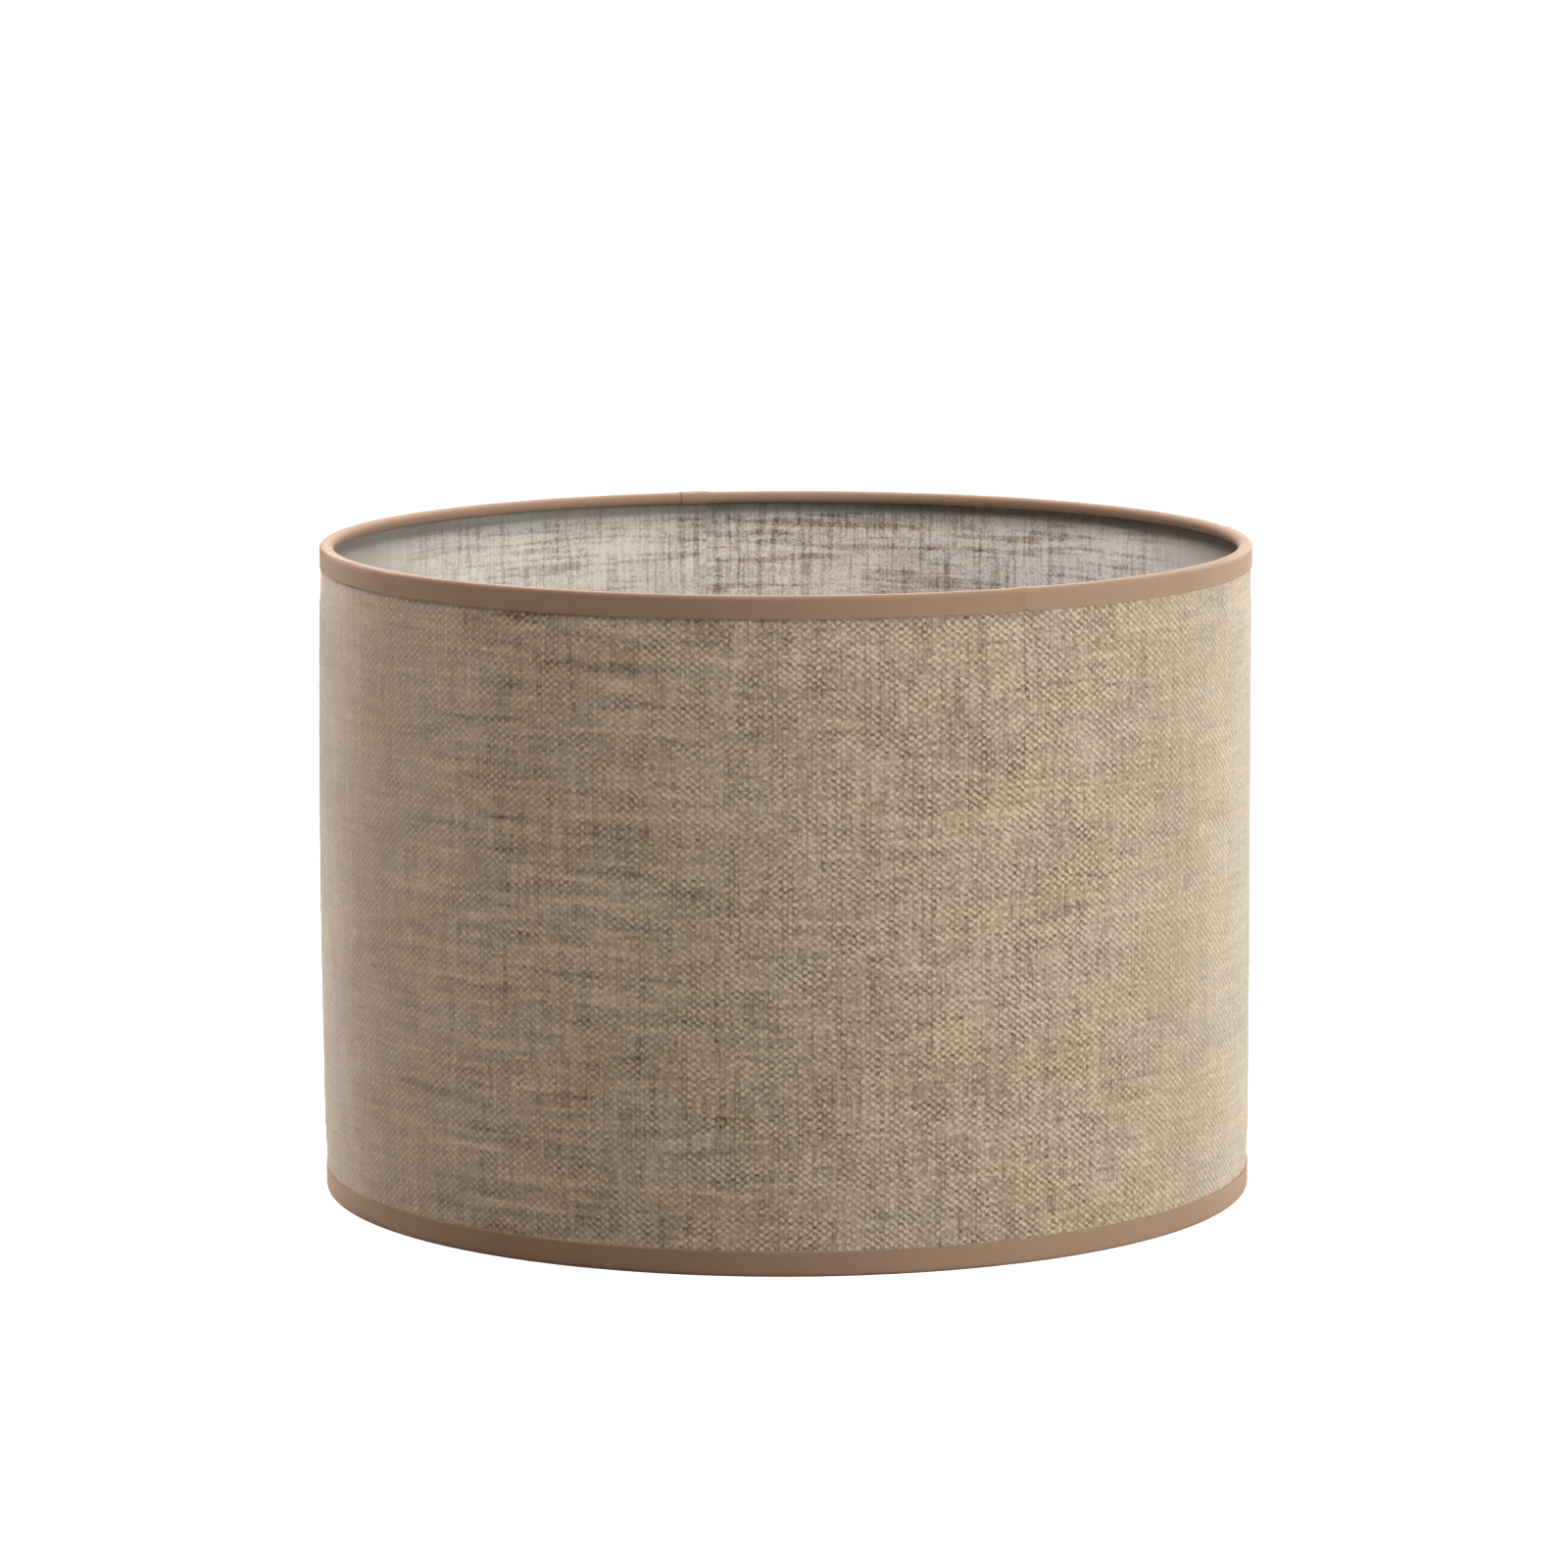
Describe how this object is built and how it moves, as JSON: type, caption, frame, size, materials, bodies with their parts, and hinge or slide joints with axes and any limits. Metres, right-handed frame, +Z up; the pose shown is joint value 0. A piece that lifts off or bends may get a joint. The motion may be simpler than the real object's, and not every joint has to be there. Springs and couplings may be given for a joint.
{
  "type": "lamp shade",
  "caption": "Straight drum lamp shade in woven cloth on a stiff lining, with tape-bound wire rims and a recessed ring fitter on wire arms.",
  "frame": {"origin": "centre of the shade on the plane that its bottom binding rests on", "axes": "+Z up along the shade's axis, -Y towards the side opposite the lap seam"},
  "size_m": [0.3008, 0.3008, 0.21],
  "materials": {
    "woven_cloth": "matt slubbed plain weave",
    "lining_film": "translucent white, satin",
    "adhesive_tape": "clear double-sided tape",
    "coated_wire": "white powder coat",
    "binding_tape": "fine plain weave, matt"
  },
  "bodies": {
    "root": {"woven_cover": "woven_cloth", "lining_panel": "lining_film", "seam_tape": "adhesive_tape", "top_wire_ring": "coated_wire", "bottom_wire_ring": "coated_wire", "top_binding": "binding_tape", "bottom_binding": "binding_tape", "fitter_ring": "coated_wire", "fitter_arm_1": "coated_wire", "fitter_arm_2": "coated_wire", "fitter_arm_3": "coated_wire"}
  },
  "joints": []
}
